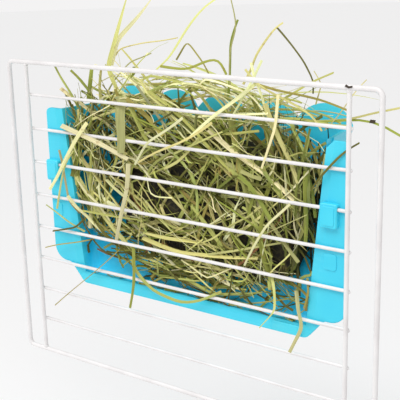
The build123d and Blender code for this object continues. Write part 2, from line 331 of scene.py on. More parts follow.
@dataclass(frozen=True)
class DriedGrass:
    """Timothy grass, cut and dried in the sun.

    It gives the eye matt straw and olive ribbons with fine veins along them and browner spots.
    """

    roughness: float = 0.62
    specular: float = 0.35
    vein_count: float = 11.0        # around a strand; drawn coarser than real veins so that they show
    vein_length: float = 26.0
    vein_height: float = 0.12
    vein_shade: tuple[float, float] = (0.72, 1.12)      # the darkest and lightest vein
    spot_size: float = 5.0
    spot_colour: str = "#9A6B34"
    spot_strength: float = 0.45

    def build(self) -> bpy.types.Material:
        """Make the material. Each strand's own colour is in the mesh, and its veins follow its UV map.

        Returns:
            The material.
        """
        shading = Shading("dried_timothy_grass")
        own = add_node(shading.tree, "Attribute", attribute_name="straw_colour").outputs["Color"]
        along = add_node(shading.tree, "UVMap", uv_map="strand").outputs["UV"]
        stretched = shading.mapped(along, (self.vein_count, UV_LENGTH / self.vein_length, 1.0))
        veins = shading.noise(stretched, 1.0, 3.0)
        shade = shading.ranged(veins, 0.3, 0.7, *self.vein_shade)
        veined = shading.vectors("MULTIPLY", own, shade).outputs["Vector"]
        spots = shading.noise(shading.place(), per_metre(self.spot_size), 2.0)
        spotted = shading.ranged(spots, 0.64, 0.74, high=self.spot_strength)
        colour = shading.mix(spotted, veined, self.spot_colour)
        shading.relief(veins, self.vein_height, 0.6)
        return shading.finish(
            {"Base Color": colour, "Roughness": self.roughness, "Specular IOR Level": self.specular}
        )


@dataclass(frozen=True)
class PaintedShadeGrass:
    """Painted shade: a dark mass of grass that stands for the shade deep in the hay, as it shows in the gaps
    between nearer strands.

    It gives the eye a dark olive ground, crossed at three angles by short, dull strands.
    """

    dark: str = "#17140A"
    middle: str = "#3C3618"
    light: str = "#80783C"
    roughness: float = 0.8
    strand_width: float = 2.4
    strand_length: float = 26.0
    crossings: tuple[float, ...] = (-30.0, 35.0, 88.0)      # degrees up from level
    relief_height: float = 1.6

    def build(self) -> bpy.types.Material:
        """Make the material: each crossing is noise drawn out along its strands, and the lightest shows.

        Returns:
            The material.
        """
        shading = Shading("painted_shade_grass")
        place = shading.place()
        lightest = None
        for angle in self.crossings:
            turned = shading.mapped(place, turn=(0.0, math.radians(angle), 0.0))
            drawn_out = shading.mapped(turned, (self.strand_width / self.strand_length, 1.0, 1.0))
            strands = shading.noise(drawn_out, per_metre(self.strand_width), 2.0)
            lightest = shading.combine("MAXIMUM", lightest, strands) if lightest else strands
        colour = shading.ramp(lightest, (0.54, self.dark), (0.65, self.middle), (0.8, self.light))
        shading.relief(lightest, self.relief_height, 1.0)
        return shading.finish({"Base Color": colour, "Roughness": self.roughness})


# --- Meshes ---------------------------------------------------------------------------------------------
def mesh_object(name: str, points: Array, faces: Array) -> bpy.types.Object:
    """Make an object at the origin from points and faces.

    Args:
        name: The object's and its mesh's name.
        points: Corner places in millimetres, (P, 3).
        faces: Corner numbers, (F, 3) or (F, 4).

    Returns:
        The linked object.
    """
    mesh = bpy.data.meshes.new(name)
    mesh.from_pydata((points * MM).astype(np.float32).tolist(), [], faces.tolist())
    mesh.update()
    made = bpy.data.objects.new(name, mesh)
    bpy.context.scene.collection.objects.link(made)
    return made


def dress(piece: bpy.types.Object, material: bpy.types.Material) -> None:
    """Give the whole piece one material."""
    piece.data.materials.clear()
    piece.data.materials.append(material)


def report(piece: bpy.types.Object) -> None:
    """Log a finished piece with its size.

    Args:
        piece: The piece.
    """
    corners = np.array(piece.bound_box) / MM
    low, high = corners.min(0).round(1), corners.max(0).round(1)
    log.info("%s: %d faces, from %s to %s mm", piece.name, len(piece.data.polygons), low, high)


def halfway(box: tuple[Vector, Vector], axis: int) -> float:
    """The middle of a node's box along one axis, in millimetres."""
    return sum(corner[axis] for corner in box) / 2 / MM


def unit(vectors: Array) -> Array:
    """The vectors, each scaled to length one."""
    return vectors / np.maximum(np.linalg.norm(vectors, axis=-1, keepdims=True), 1e-9)


def eased(value: Array, start: float, end: float) -> Array:
    """Zero where the value is start or less, one where it is end or more, and even between."""
    return np.clip((value - start) / (end - start), 0, 1)


def spread(corners: Array, share: Array) -> tuple[Array, float]:
    """Find places along straight runs between corners.

    Args:
        corners: The corners, (C, D).
        share: How far along the whole way each place lies, from zero to one, (P,).

    Returns:
        The places, (P, D), and the whole way's length.
    """
    reached = np.concatenate([[0], np.linalg.norm(np.diff(corners, axis=0), axis=1).cumsum()])
    places = [np.interp(share * reached[-1], reached, column) for column in corners.T]
    return np.stack(places, axis=-1), reached[-1]


def closed_skin(rings: int, around: int, clockwise: bool = False) -> Array:
    """Cover rings of points that follow one another, and cap both end rings.

    Args:
        rings: How many rings there are.
        around: How many points each has, an even number.
        clockwise: Whether they go round clockwise, as seen from where the rings lead to.

    Returns:
        The corner numbers of faces that look outwards, (F, 4).
    """
    number = np.arange(rings * around).reshape(rings, around)
    after = np.roll(number, -1, axis=1)
    walls = np.stack([number[:-1], after[:-1], after[1:], number[1:]], axis=-1).reshape(-1, 4)
    steps = range(1, around - 2, 2)
    caps = [number[0, [0, k + 2, k + 1, k]] for k in steps]
    caps += [number[-1, [0, k, k + 1, k + 2]] for k in steps]
    faces = np.concatenate([walls, np.array(caps)])
    return faces[:, [0, 3, 2, 1]] if clockwise else faces


def join(parts: list[tuple[Array, Array]]) -> tuple[Array, Array]:
    """Join meshes into one.

    Args:
        parts: The points and faces of each.

    Returns:
        Points (P, 3) and faces (F, 4).
    """
    starts = np.cumsum([0] + [len(points) for points, _ in parts[:-1]])
    faces = [corners + start for (_, corners), start in zip(parts, starts)]
    return np.concatenate([points for points, _ in parts]), np.concatenate(faces)


class Tint(Enum):
    """What a strand's colour is called, with its sRGB value."""

    CREAM = "#F2EEB6"
    STRAW = "#D8D486"
    PALE_GREEN = "#BAC068"
    GREEN = "#929A40"
    OLIVE = "#646422"
    SAGE = "#B4B274"
    KHAKI = "#A09448"
    BUFF = "#D2C890"
    RUST = "#9A6A3A"
    UMBER = "#3C3020"


class Kind(Enum):
    """How a strand is shaped: its number of sides, thickness over width, and fold of its two halves."""

    BLADE = (4, 0.10, 0.28)
    TORN_BLADE = (4, 0.08, 0.16)
    CRUSHED_STEM = (6, 0.24, 0.06)
    ROUND_STEM = (6, 0.85, 0.0)


@dataclass
class Strands:
    """Strands of one kind: N strands with S stations along each.

    The section at a station is a flattened ring: its points lie at equal angles, width / 2 times the cosine
    out to the side and thickness / 2 times the sine out of the flat face, and a fold lifts the two edges.
    """

    kind: Kind
    path: Array                     # (N, S, 3), in millimetres
    facing: Array                   # (N, 3), the way the flat side looks at the foot
    width: Array                    # (N, S)
    roll: Array                     # (N, S), in radians
    colour: Array                   # (N, 3), linear

    def points(self) -> Array:
        """Sweep the section along each path.

        Returns:
            The points, (P, 3): strand after strand, and in each ring after ring.
        """
        sides, flatness, fold = self.kind.value
        tangent = unit(np.gradient(self.path, axis=1))
        across = unit(np.cross(tangent, self.facing[:, None, :]))
        out = np.cross(across, tangent)
        turn_cos, turn_sin = np.cos(self.roll)[..., None], np.sin(self.roll)[..., None]
        side = (across * turn_cos + out * turn_sin)[:, :, None, :]
        face = (out * turn_cos - across * turn_sin)[:, :, None, :]
        angle = 2 * np.pi * np.arange(sides) / sides
        width = self.width[..., None]
        reach = np.cos(angle) * width / 2
        rise = np.sin(angle) * np.maximum(width * flatness, THINNEST) / 2
        rise = rise + fold * np.abs(np.cos(angle)) * width / 2
        return (self.path[:, :, None, :] + reach[..., None] * side + rise[..., None] * face).reshape(-1, 3)

    def skin(self) -> tuple[Array, Array]:
        """Cover each strand and cap its ends.

        In the UV map U goes round the strand and V along it, by its length.

        Returns:
            Corner numbers (F, 4), and the UV place of each corner (F, 4, 2), which is zero on a cap.
        """
        count, stations = self.path.shape[:2]
        sides = self.kind.value[0]
        number = np.arange(count * stations * sides).reshape(count, stations, sides)
        after = np.roll(number, -1, axis=2)
        walls = np.stack([number[:, :-1], number[:, 1:], after[:, 1:], after[:, :-1]], axis=-1)
        length = np.linalg.norm(np.diff(self.path, axis=1), axis=2).sum(1)
        v = length[:, None, None] * (np.arange(stations) / (stations - 1))[None, :, None] / UV_LENGTH
        u = np.arange(count)[:, None, None] * UV_STEP + np.arange(sides + 1) / sides
        corners = []
        for du, dv in ((0, 0), (0, 1), (1, 1), (1, 0)):
            place = np.broadcast_arrays(u[..., du:sides + du], v[:, dv:stations - 1 + dv])
            corners.append(np.stack(place, axis=-1))
        caps = []
        for ring in (number[:, 0], number[:, -1, ::-1]):
            caps += [ring[:, [0, k, k + 1, k + 2]] for k in range(1, sides - 2, 2)]
        faces = np.concatenate([walls.reshape(-1, 4), *caps])
        uvs = np.zeros((len(faces), 4, 2))
        uvs[:walls.size // 4] = np.stack(corners, axis=-2).reshape(-1, 4, 2)
        return faces, uvs

    def tones(self, rng: Random) -> Array:
        """Colour each point: its strand's own colour, with a tone that wanders along the strand.

        Args:
            rng: Source of the tones.

        Returns:
            Linear colours, (P, 3).
        """
        count, stations = self.path.shape[:2]
        tone = 1 + TONE_WANDER * rng.standard_normal((count, stations)).cumsum(axis=1) / math.sqrt(stations)
        shade = self.colour[:, None, None, :] * np.clip(tone, *TONE_LIMITS)[:, :, None, None]
        return np.broadcast_to(shade, (count, stations, self.kind.value[0], 3)).reshape(-1, 3)


def strand_object(name: str, groups: list[Strands], rng: Random) -> bpy.types.Object:
    """Join groups of strands into one object, with its UV map and colours.

    Args:
        name: The object's name.
        groups: Strands of any kinds.
        rng: Source of the changes of tone.

    Returns:
        The object.
    """
    groups = [group for group in groups if len(group.path)]
    skins = [group.skin() for group in groups]
    points, faces = join([(group.points(), corners) for group, (corners, _) in zip(groups, skins)])
    uvs = np.concatenate([uv for _, uv in skins]).astype(np.float32)
    colour = np.concatenate([group.tones(rng) for group in groups])
    rgba = np.concatenate([colour, np.ones((len(colour), 1))], axis=1).astype(np.float32)
    made = mesh_object(name, points, faces)
    mesh = made.data
    mesh.uv_layers.new(name="strand").data.foreach_set("uv", uvs.ravel())
    mesh.color_attributes.new("straw_colour", "FLOAT_COLOR", "POINT").data.foreach_set("color", rgba.ravel())
    mesh.shade_smooth()
    mesh.set_sharp_from_angle(angle=math.radians(FOLD_ANGLE))
    return made


# --- Wire front -----------------------------------------------------------------------------------------
@dataclass
class WireFront:
    """The welded wire front: an outer loop, two uprights and eight cross bars."""

    coat: PowderCoat = PowderCoat()
    bar_radius: float = 1.15
    upright_radius: float = 1.5
    loop_radius: float = 1.7
    weld_reach: float = 1.5         # of a weld's fillet along the wire
    weld_swell: float = 0.35        # of the weld over the wires it joins
    cross_reach: float = 0.45       # the share of that reach that a weld has where two wires cross
    cross_swell: float = 0.4        # and the share of that swell
    cross_rise: float = 0.75        # how far it lies from the bar's axis towards the upright, in bar radii
    foot_depth: float = 0.9         # how deep the weld below an upright's end begins in the loop
    bead_end: float = 0.995         # how near a bead's poles its end rings lie
    bead_lump: float = 0.05         # of its surface, as a share of its radius
    rings: int = 11
    around: int = 16

    def bead(self, start: Array, end: Array, radius: float) -> tuple[Array, Array]:
        """One weld bead, a closed grid: a circle carried from start to end.

        Its radius is the bead's own times the square root of one minus the square of how far along it lies,
        counted from minus one to one, with a small lump that goes round three times.

        Args:
            start: Where the bead starts, in millimetres.
            end: Where it ends.
            radius: Its greatest radius.

        Returns:
            Points (P, 3) and faces (F, 4).
        """
        along = np.linspace(-self.bead_end, self.bead_end, self.rings)[:, None]
        angle = 2 * np.pi * np.arange(self.around)[None, :] / self.around
        size = radius * np.sqrt(1 - along**2) * (1 + self.bead_lump * np.sin(3 * angle + 2 * along))
        axis = unit(end - start)
        side = unit(np.cross(axis, [0.3, 0.9, 0.1]))
        out = np.cross(axis, side)
        middle, half = (start + end) / 2, np.linalg.norm(end - start) / 2
        points = (
            middle + (along * half)[..., None] * axis
            + (size * np.cos(angle))[..., None] * side + (size * np.sin(angle))[..., None] * out
        )
        return points.reshape(-1, 3), closed_skin(self.rings, self.around)

    def weld_beads(self) -> bpy.types.Object:
        """The squashed beads where bars cross the uprights, and where the uprights meet the loop.

        Returns:
            The object.
        """
        beads = []
        names = sorted(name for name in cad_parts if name.startswith("bar_"))
        heights = [halfway(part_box(name), 2) for name in names]
        bar_y = halfway(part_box("bar_1"), 1) - self.bar_radius * self.cross_rise
        low_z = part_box("frame_loop")[0].z / MM + self.loop_radius
        across = np.array([self.upright_radius + self.weld_reach * self.cross_reach, 0.0, 0.0])
        size = self.bar_radius + self.weld_swell * self.cross_swell
        for name in ("left_upright", "right_upright"):
            x = halfway(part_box(name), 0)
            for z in heights:
                centre = np.array([x, bar_y, z])
                beads.append(self.bead(centre - across, centre + across, size))
            for z, way in ((0.0, -1), (low_z, 1)):
                foot = np.array([x, 0.0, z + way * (self.loop_radius - self.foot_depth)])
                tip = np.array([x, 0.0, z + way * (self.loop_radius + self.weld_reach)])
                beads.append(self.bead(foot, tip, self.upright_radius + self.weld_swell))
        made = mesh_object("weld_beads", *join(beads))
        made.data.shade_smooth()
        return made

    def build(self) -> None:
        """Dress the wires and add their welds."""
        coat = self.coat.build()
        for name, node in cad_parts.items():
            if name.startswith("bar_") or name.endswith("_upright") or name == "frame_loop":
                dress(node, coat)
        welds = self.weld_beads()
        dress(welds, coat)
        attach(welds, BODY)
        report(welds)


# --- Hopper and buckles ---------------------------------------------------------------------------------
@dataclass
class Hopper:
    """The moulded hopper, and the sizes of its inside that the hay is fitted to."""

    plastic: MouldedPolypropylene = MouldedPolypropylene("blue_polypropylene")
    rim_z: float = -32.6
    floor_z: float = -153.7
    front_y: float = 3.85
    mouth_half: float = 107.75      # half the mouth's width at the rim
    side_taper: float = 6.5         # degrees that a side leans in towards the floor
    side_draft: float = 9.0         # degrees that a side leans in towards the back
    rim_depth: float = 46.0
    floor_depth: float = 8.5
    crest_height: float = 12.4
    first_bar_z: float = -24.0
    bar_pitch: float = 25.0
    bulge_power: float = 1.5        # a higher one keeps a bulge nearer the middle between two bars
    mouth_fade: tuple[float, float] = (2.0, 8.0)        # how far back the painted bounce shade begins and is full
    rim_fade: float = 14.0          # how far below the rim it is full
    wall_fade: tuple[float, float] = (1.1, 0.6)         # how deep in a wall it has ended and is still full

    def middle(self) -> float:
        """Where the hopper's middle lies, sideways."""
        return halfway(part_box("hopper"), 0)

    def lean(self) -> tuple[float, float, float]:
        """How much narrower the inside gets per millimetre down and back, and the back wall's slope."""
        slope = (self.rim_depth - self.floor_depth) / (self.rim_z - self.floor_z)
        return math.tan(math.radians(self.side_taper)), math.tan(math.radians(self.side_draft)), slope

    def half_width(self, y: Array, z: Array) -> Array:
        """Half the inside's width at depth y and height z, between the sloping sides."""
        taper, draft, _ = self.lean()
        return self.mouth_half - (self.rim_z - np.minimum(z, self.rim_z)) * taper - (y - self.front_y) * draft

    def back(self, z: Array) -> Array:
        """The back wall's inner face at height z."""
        return self.front_y + self.rim_depth - (self.rim_z - z) * self.lean()[2]

    def painted_bounce_limits(self) -> tuple[Limit, ...]:
        """What bounds the painted shade of the inside, its deeper blue: the mouth, the rim, and the outer
        faces of its walls.

        Returns:
            The limits.
        """
        taper, draft, slope = self.lean()
        side = self.mouth_half - self.rim_z * taper + self.front_y * draft
        back = self.front_y + self.rim_depth - self.rim_z * slope
        return (
            ((0.0, 1.0, 0.0), self.front_y + self.mouth_fade[0], self.front_y + self.mouth_fade[1]),
            ((0.0, 0.0, 1.0), -self.rim_z, self.rim_fade - self.rim_z),
            ((1.0, draft, taper), side + self.wall_fade[0], side + self.wall_fade[1]),
            ((0.0, 1.0, slope), back + self.wall_fade[0], back + self.wall_fade[1]),
        )

    def press_inside(self, points: Array, gap: Array, bulge: Array) -> Array:
        """Press points of hay inside the walls, the floor and the bars.

        Args:
            points: Places in millimetres, (N, S, 3).
            gap: How far each strand stays from a wall, (N,).
            bulge: How far each strand may swell out between two bars, (N,).

        Returns:
            The pressed places.
        """
        x, y, z = points[..., 0] - self.middle(), points[..., 1], points[..., 2]
        clear = gap[:, None]
        z = np.maximum(z, self.floor_z + clear)
        between = np.abs(np.sin(np.pi * (z - self.first_bar_z) / self.bar_pitch)) ** self.bulge_power
        front = self.front_y + clear - bulge[:, None] * between
        low = z < self.rim_z + self.crest_height + 2
        y = np.where(low, np.minimum(y, self.back(z) - clear), y)
        y = np.maximum(y, front)
        half = self.half_width(y, z) - clear
        x = np.where(z < self.rim_z + 1, np.clip(x, -half, half), x)
        return np.stack([x + self.middle(), y, z], axis=-1)

    def build(self) -> None:
        """Dress the moulding."""
        dress(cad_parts["hopper"], self.plastic.build(self.middle(), self.painted_bounce_limits()))


@dataclass
class Buckles:
    """The two snap-in buckles, moulded apart from the hopper in the same blue."""

    plastic: MouldedPolypropylene = MouldedPolypropylene(
        "blue_buckle_polypropylene", colour="#4CE0F6", roughness=0.32
    )

    def build(self) -> None:
        """Dress both buckles."""
        finish = self.plastic.build()
        for name in ("left_buckle", "right_buckle"):
            dress(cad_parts[name], finish)


# --- Hay ------------------------------------------------------------------------------------------------
@dataclass(frozen=True)
class Stem:
    """A strand whose points are listed: its points in millimetres, width, tint and kind."""

    points: tuple[Triple, ...]
    width: float
    tint: Tint
    kind: Kind = Kind.CRUSHED_STEM


REACHING = (
    Stem(((-48, 8, -20), (-46, 2.5, -32), (-43, -2.4, -57)), 7.6, Tint.SAGE, Kind.TORN_BLADE),
    Stem(((-52, -1, -25), (-69, -1.5, -33), (-86, -1, -43)), 1.5, Tint.CREAM),
    Stem(((-74, -1, -39), (-98, -2.5, -70), (-113, -3, -92)), 2.8, Tint.CREAM),
    Stem(((-101, 1, -44), (-61, -1.5, -53), (-38, -1, -61)), 3.6, Tint.CREAM),
    Stem(((-39, 5, -25), (-30, 6, -43), (-19, 7, -60)), 3.4, Tint.PALE_GREEN),
    Stem(((10, -1, -28), (-19, -2, -47), (-32, -1, -64)), 1.9, Tint.CREAM),
    Stem(((33, -1, -29), (4, -2, -46), (-29, -1, -62)), 1.9, Tint.STRAW),
    Stem(((-38, -1, -64), (-39, -3, -82), (-50, -3.5, -120)), 3.1, Tint.CREAM),
    Stem(((-64, 5, -80), (-34, 6, -100)), 2.7, Tint.CREAM),
    Stem(((-57, 6, -78), (-25, 7, -98)), 2.1, Tint.STRAW),
    Stem(((-92, 4.6, -81), (-86, 6, -92), (-61, 6.6, -116), (-42, 6, -131)), 3.6, Tint.STRAW),
    Stem(((-97, -1.4, -95), (-91, -0.6, -103), (-84, 4.4, -110), (-68, 6, -122)), 2.6, Tint.CREAM),
    Stem(((-80, 7, -75), (-80, 6, -101)), 2.2, Tint.PALE_GREEN),
    Stem(((-68, 7, -75), (-65, 6, -104)), 2.0, Tint.STRAW),
    Stem(((-41, 4, -123), (-36, -1.5, -134), (-36, -3, -147), (-40, -4, -169)), 2.3, Tint.GREEN),
    Stem(((-54, 4, -130), (-85, -2, -158), (-113, -6, -182)), 1.4, Tint.KHAKI),
    Stem(((-86, 6, -111), (-93, 0, -119), (-113, -3, -124)), 1.6, Tint.OLIVE),
    Stem(((-87, 4, -122), (-100, 0, -115), (-117, -4, -104)), 1.5, Tint.STRAW),
    Stem(((-78, 5, -126), (-90, 0, -129), (-121, -4, -138)), 1.2, Tint.KHAKI),
    Stem(
        ((-44, 5.5, -136), (-37, -0.6, -143), (-21, -1.5, -154), (5, -3, -155), (22, -2.5, -150),
         (34, 4, -144)), 2.3, Tint.PALE_GREEN,
    ),
    Stem(((-33, 5, -118), (0, 4.6, -122), (38, 5, -121), (62, 6, -116)), 3.2, Tint.STRAW),
    Stem(((90, -1, -74), (74, -2.5, -89), (56, -1, -120)), 1.8, Tint.CREAM),
    Stem(((90, -1, -106), (76, -2, -121)), 1.6, Tint.STRAW),
    Stem(((97, 6, -54), (97, 6, -78), (96, 7, -102)), 3.0, Tint.GREEN),
    Stem(((-104, 0.2, -62), (-101, 0, -80), (-96, 0, -100), (-92, 5, -109)), 1.7, Tint.BUFF),
    Stem(((-110, 0, -107), (-104, 0, -86), (-99, 0, -72), (-93, 6, -60)), 1.5, Tint.STRAW),
    Stem(((73, 5, -126), (79, -1.5, -133), (80, -3, -145), (69, -4, -159)), 1.9, Tint.STRAW),
    Stem(((91, 5, -132), (96, -1.5, -142), (100, -3, -152), (92, -5, -170)), 2.7, Tint.BUFF),
    Stem(((99, 5, -122), (102, 1, -129), (100, -1, -140)), 1.5, Tint.KHAKI),
    Stem(
        ((101, 5, -65), (108, 0.6, -57), (115, -0.2, -49), (122, 2, -41), (128, 3, -36), (134, 2.6, -32)),
         1.7, Tint.OLIVE,
    ),
    Stem(((56, 14, -5), (38, -1, -22), (16, -1.5, -40)), 2.7, Tint.CREAM),
    Stem(((39, 9.5, -23), (48, 7, -54), (56, 7, -90)), 4.6, Tint.PALE_GREEN),
    Stem(((24, 8, -36), (49, 6.8, -51), (55, 6, -53), (68, 6.4, -60), (90, 6, -75)), 3.4, Tint.CREAM),
    Stem(((80, 2, -8), (80, -1.2, -27), (70, -1.5, -54)), 1.9, Tint.CREAM),
    Stem(((68, 6, -15), (92, 5, -62)), 3.1, Tint.STRAW),
    Stem(((84, 14, -34), (92, 13, -50), (99, 12, -70), (101, 11, -84)), 2.6, Tint.GREEN),
    Stem(((108, 15, -36), (100, 13, -54), (92, 12, -72)), 2.0, Tint.OLIVE),
    Stem(((90, 16, -32), (98, 15, -46), (104, 13, -62)), 2.2, Tint.KHAKI),
    Stem(((104, 18, -38), (88, 15, -50), (76, 13, -56)), 1.8, Tint.PALE_GREEN),
    Stem(((95, 12, -34), (93, 11, -52), (97, 10, -76)), 2.4, Tint.PALE_GREEN),
    Stem(((106, 14, -44), (103, 13, -60), (94, 12, -82)), 1.6, Tint.STRAW),
    Stem(((80, 18, -38), (95, 17, -42), (107, 16, -52)), 2.0, Tint.OLIVE),
    Stem(((85, 8, -25), (96, 7, -45)), 2.4, Tint.PALE_GREEN),
    Stem(((102, 6, -51), (83, 5, -71)), 1.8, Tint.CREAM),
    Stem(((126.8, -1.9, 1.3), (129.2, -2.1, 0.3), (131.2, -1.9, 0.9)), 1.5, Tint.UMBER),
)
TALL = (
    Stem(
        ((-62, 20, -20), (-71, 20, -3), (-65, 19, 8), (-57, 18, 26), (-46, 18, 52)),
         3.8, Tint.STRAW, Kind.BLADE,
    ),
    Stem(((-70, 24, -2), (-65, 25, 15), (-49, 27, 31), (-34, 28, 46)), 3.6, Tint.CREAM, Kind.BLADE),
    Stem(
        ((-38, 22, -10), (-26, 20, 1), (-19, 20, 5), (0, 20, 26), (14, 21, 40), (28, 22, 49)), 1.9, Tint.STRAW
    ),
    Stem(((-68, 26, 5), (-66, 26, 9), (-42, 28, 15), (-16, 30, 19)), 1.1, Tint.STRAW, Kind.ROUND_STEM),
    Stem(((-13, 24, 5), (-4, 24, 18), (10, 24, 4), (16, 24, -7)), 1.2, Tint.KHAKI),
    Stem(((-22, 18, 1), (2, 16, 1), (20, 16, 7), (28, 16, 8), (33, 16, -1)), 2.0, Tint.GREEN),
    Stem(((36, 16, -10), (36, 16, 1), (38, 15, 19), (42, 14, 29), (37, 14, 52)), 1.0, Tint.SAGE),
    Stem(((34, 16, -15), (35, 16, 1), (38, 15, 20), (43, 15, 34)), 1.7, Tint.GREEN),
    Stem(((43, 20, -7), (48, 20, 2), (53, 19, 12), (70, 17, 30), (75, 16, 33)), 1.6, Tint.STRAW),
    Stem(((70, 17, 30), (79, 16, 21), (91, 15, 10), (98, 14, 0), (97, 14, -8)), 1.2, Tint.OLIVE),
    Stem(((-90, 8, -31), (-95, 6, -21), (-106, 3, -1)), 1.8, Tint.PALE_GREEN),
    Stem(((-79, 14, -27), (-84, 14, -19), (-101, 14, -6)), 2.2, Tint.GREEN),
    Stem(((-87, 16, -28), (-85, 16, -16), (-82, 16, -2)), 3.6, Tint.GREEN),
    Stem(((-77, 18, -26), (-78, 18, -18), (-75, 18, -3)), 2.2, Tint.STRAW),
    Stem(((-53, 20, -10), (-47, 20, -6), (-47, 20, -1)), 2.1, Tint.GREEN),
    Stem(((54, 16, -5), (83, 12, -8), (106, 8, -11), (125, 7, -15)), 1.9, Tint.KHAKI, Kind.ROUND_STEM),
    Stem(((69, 16, -17), (82, 14, -9), (96, 10, -2), (116, 4, 7)), 1.9, Tint.PALE_GREEN),
    Stem(((100, 12, -14), (106, 8, -1), (102, 6, 7)), 0.9, Tint.STRAW),
    Stem(
        ((0, 20, -34), (31, 20, -30), (86, 18, -28), (108, 16, -26), (137, 14, -21), (154, 14, -28)),
         2.0, Tint.GREEN,
    ),
    Stem(((70, 20, -29), (107, 17, -24), (124, 15, -21), (135, 14, -17), (153, 14, -12)), 1.8, Tint.STRAW),
    Stem(((64, 18, -28), (81, 14, -24), (96, 12, -24), (111, 9, -25), (123, 7, -24)), 3.0, Tint.PALE_GREEN),
    Stem(((60, 20, -32), (84, 16, -26), (99, 13, -26), (116, 9, -26)), 2.2, Tint.OLIVE),
    Stem(((104, 16, -30), (118, 13, -15), (127, 12, -4), (133, 12, 3)), 1.1, Tint.BUFF),
    Stem(((135, 13.4, -21.2), (138.4, 13.4, -21)), 2.5, Tint.UMBER),
    Stem(((53, 14, 8), (56, 12, -1), (63, 10, -11), (70, 8, -24), (72, 9, -32)), 1.8, Tint.CREAM),
    Stem(((61, 14, 10), (57, 12, -1), (50, 10, -12), (42, 8, -25), (38, 9, -31)), 1.6, Tint.CREAM),
    Stem(((50, 12, 4), (61, 10, -4), (81, 8, -12), (100, 8, -21), (106, 9, -29)), 1.5, Tint.STRAW),
    Stem(((-76, 22, -24), (-69, 22, -15), (-50, 20, 3), (-31, 20, 9)), 1.3, Tint.SAGE),
    Stem(((12, 14, -10), (19, 12, -3), (34, 12, -6), (55, 10, -12), (64, 10, -20)), 1.4, Tint.CREAM),
    Stem(
        ((-38, 16, -10), (-30, 16, -4), (-5, 14, -7), (19, 12, -12), (33, 10, -19), (39, 10, -27)),
         1.8, Tint.PALE_GREEN,
    ),
)
# Where the hay parts, as seen from the eye: across and up in the mouth's plane, and the gap's radius. In the
# first group the blue wall or crest shows through, and in the second the dark mass of painted shade deep in
# the hay.
OPEN_GAPS = (
    (-35, -14, 3.2), (-2, -14, 3.6), (12, -21, 3.6), (34, -18, 4.6), (-52, -33, 2.6), (-12, -32, 3.8),
    (-96, -40, 3.0), (-78, -33, 2.2), (-61, -63, 2.8), (-81, -66, 2.8), (-82, -88, 2.4), (65, -33, 3.8),
    (106, -28, 5.4), (97, -36, 3.4),
)
DARK_GAPS = (
    (-54, -90, 4.6), (-84, -80, 3.2), (-20, -79, 4.0), (-1, -66, 4.6), (61, -42, 4.0), (-6, -91, 4.4),
    (22, -95, 4.2), (-36, -82, 3.0), (-3, -120, 6.0), (78, -109, 4.2), (98, -110, 4.0), (-42, -121, 4.0),
    (-37, -71, 2.6), (44, -72, 2.8), (52, -104, 3.0),
)
# The chance of each tint, among strands in the light and among those in the shade.
BRIGHT = {
    Tint.CREAM: 2.2, Tint.STRAW: 3.2, Tint.PALE_GREEN: 3, Tint.GREEN: 1.8, Tint.OLIVE: 0.6, Tint.KHAKI: 0.5,
}
DULL = {
    Tint.STRAW: 1.2, Tint.PALE_GREEN: 2, Tint.GREEN: 3, Tint.OLIVE: 2.5, Tint.KHAKI: 0.8, Tint.RUST: 0.12,
}


@dataclass(frozen=True)
class Layer:
    """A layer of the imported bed."""

    count: int                      # of its strands
    depth: tuple[float, float]      # its nearest and farthest distance behind the bars
    widths: tuple[float, float]     # its narrowest and widest strand
    tints: dict[Tint, float]        # the chance of each tint
    lowest: float                   # the least height of a strand's middle
    loose: float                    # the share of strands that stays where the bed is a loose tangle
    swell: float = 0.0              # how far its strands may swell out between the bars
    gaps: tuple[Triple, ...] = OPEN_GAPS + DARK_GAPS    # where its strands part
    lengths: tuple[float, float] = (16.0, 44.0)         # the shortest, and how much longer one usually is
    bow: float = 0.1                # how far a strand usually bows, as a share of its length
    span: tuple[float, float] = (-106.0, 96.0)          # across the hopper, where its strands' middles lie


@dataclass(frozen=True)
class Lie:
    """Which way strands lie in the mouth's plane. Angles are in degrees up from +X.

    Each strand joins one of four families: steep, level, falling or rising to the right. The chances change
    across the mouth, where zero is its middle and one is either end.
    """

    steep_share: float = 0.12       # of all strands, in the middle
    steep_left: float = 0.38        # how much that grows towards the left end
    steep_right: float = 0.55       # and towards the right end
    steep_from: float = 0.35        # where it begins to grow
    steep_full: float = 0.65        # and where it has grown
    level_share: float = 0.8        # of the rest, times how far below half the height they lie
    falling_share: float = 0.68     # of those that remain; all others rise
    steep_angles: tuple[float, float] = (84.0, 96.0)    # on the left and on the right
    level_angle: float = -4.0
    falling_angle: float = -30.0
    falling_more: float = 12.0      # how much more steeply they fall at the ends
    rising_angle: float = 38.0
    spreads: tuple[float, float, float, float] = (12.0, 11.0, 13.0, 18.0)   # each family's usual spread

    def angles(self, rng: Random, across: Array, height: Array) -> Array:
        """Draw the way of each strand.

        Args:
            rng: Source of the families and spreads.
            across: Where each one lies, from minus one at the left end to one.
            height: How high it lies, from zero at the floor to one at the rim.

        Returns:
            The angles, in radians.
        """
        growth = self.steep_left * eased(-across, self.steep_from, self.steep_full)
        steep = self.steep_share + growth + self.steep_right * eased(across, self.steep_from, self.steep_full)
        level = np.clip(0.5 - height, 0, 0.5) * self.level_share * (1 - steep)
        falling = (1 - steep - level) * self.falling_share
        draw = rng.random(len(across))
        apart = rng.standard_normal(len(across)) * np.array(self.spreads)[:, None]
        means = (
            np.where(across > 0, self.steep_angles[1], self.steep_angles[0]),
            self.level_angle,
            self.falling_angle - self.falling_more * np.abs(across),
            self.rising_angle,
        )
        families = [draw < steep, draw < steep + level, draw < steep + level + falling]
        degrees = [mean + own for mean, own in zip(means, apart)]
        return np.radians(np.select(families, degrees[:3], degrees[3]))


